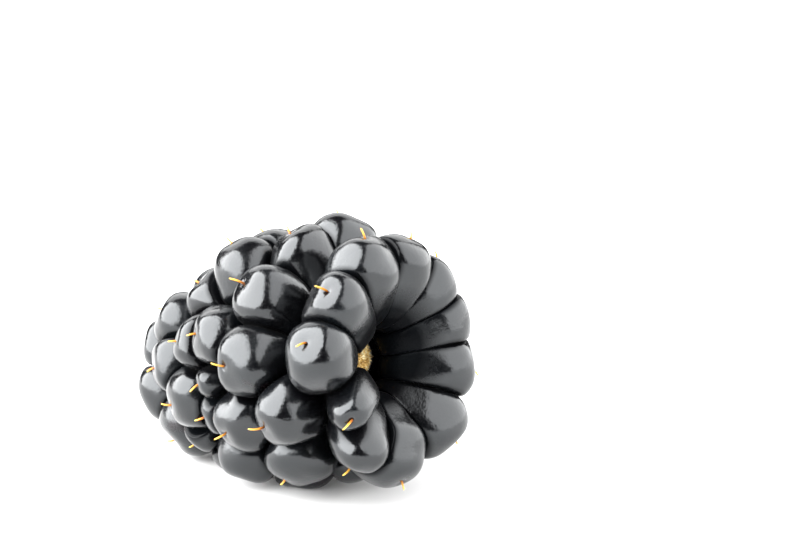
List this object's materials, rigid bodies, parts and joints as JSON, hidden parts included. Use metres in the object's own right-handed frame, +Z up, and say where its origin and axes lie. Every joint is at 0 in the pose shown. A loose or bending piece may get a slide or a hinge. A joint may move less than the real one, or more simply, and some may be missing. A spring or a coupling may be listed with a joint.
{
  "type": "bramble berry",
  "caption": "Ripe bramble berry lying on its side: glossy near-black drupelets packed in rows round a fibrous receptacle, open in a shallow hollow at the stem end.",
  "frame": {"origin": "middle of the bounding box on the surface the berry lies on", "axes": "+X along the berry towards its hollow stem end, with the tip towards -X and a little lower; +Z up"},
  "size_m": [0.0334, 0.023, 0.0236],
  "materials": {
    "drupelet_skin": "glossy near-black fruit skin, very slightly blue-grey",
    "receptacle_fibre": "matt dry plant fibre, tan to pale straw",
    "dried_style": "dry amber hair"
  },
  "bodies": {
    "root": {"mouth_drupelet_01": "drupelet_skin", "mouth_drupelet_02": "drupelet_skin", "mouth_drupelet_03": "drupelet_skin", "mouth_drupelet_04": "drupelet_skin", "mouth_drupelet_05": "drupelet_skin", "mouth_drupelet_06": "drupelet_skin", "mouth_drupelet_07": "drupelet_skin", "mouth_drupelet_08": "drupelet_skin", "mouth_drupelet_09": "drupelet_skin", "mouth_drupelet_10": "drupelet_skin", "mouth_drupelet_11": "drupelet_skin", "shoulder_drupelet_01": "drupelet_skin", "shoulder_drupelet_02": "drupelet_skin", "shoulder_drupelet_03": "drupelet_skin", "shoulder_drupelet_04": "drupelet_skin", "shoulder_drupelet_05": "drupelet_skin", "shoulder_drupelet_06": "drupelet_skin", "shoulder_drupelet_07": "drupelet_skin", "shoulder_drupelet_08": "drupelet_skin", "shoulder_drupelet_09": "drupelet_skin", "shoulder_drupelet_10": "drupelet_skin", "middle_drupelet_01": "drupelet_skin", "middle_drupelet_02": "drupelet_skin", "middle_drupelet_03": "drupelet_skin", "middle_drupelet_04": "drupelet_skin", "middle_drupelet_05": "drupelet_skin", "middle_drupelet_06": "drupelet_skin", "middle_drupelet_07": "drupelet_skin", "middle_drupelet_08": "drupelet_skin", "middle_drupelet_09": "drupelet_skin", "middle_drupelet_10": "drupelet_skin", "middle_drupelet_11": "drupelet_skin", "lower_drupelet_01": "drupelet_skin", "lower_drupelet_02": "drupelet_skin", "lower_drupelet_03": "drupelet_skin", "lower_drupelet_04": "drupelet_skin", "lower_drupelet_05": "drupelet_skin", "lower_drupelet_06": "drupelet_skin", "lower_drupelet_07": "drupelet_skin", "lower_drupelet_08": "drupelet_skin", "lower_drupelet_09": "drupelet_skin", "lower_drupelet_10": "drupelet_skin", "lower_drupelet_11": "drupelet_skin", "nose_drupelet_01": "drupelet_skin", "nose_drupelet_02": "drupelet_skin", "nose_drupelet_03": "drupelet_skin", "nose_drupelet_04": "drupelet_skin", "nose_drupelet_05": "drupelet_skin", "nose_drupelet_06": "drupelet_skin", "nose_drupelet_07": "drupelet_skin", "nose_drupelet_08": "drupelet_skin", "end_drupelet_01": "drupelet_skin", "end_drupelet_02": "drupelet_skin", "end_drupelet_03": "drupelet_skin", "end_drupelet_04": "drupelet_skin", "end_drupelet_05": "drupelet_skin", "tip_drupelet_01": "drupelet_skin", "receptacle": "receptacle_fibre"}
  },
  "joints": []
}
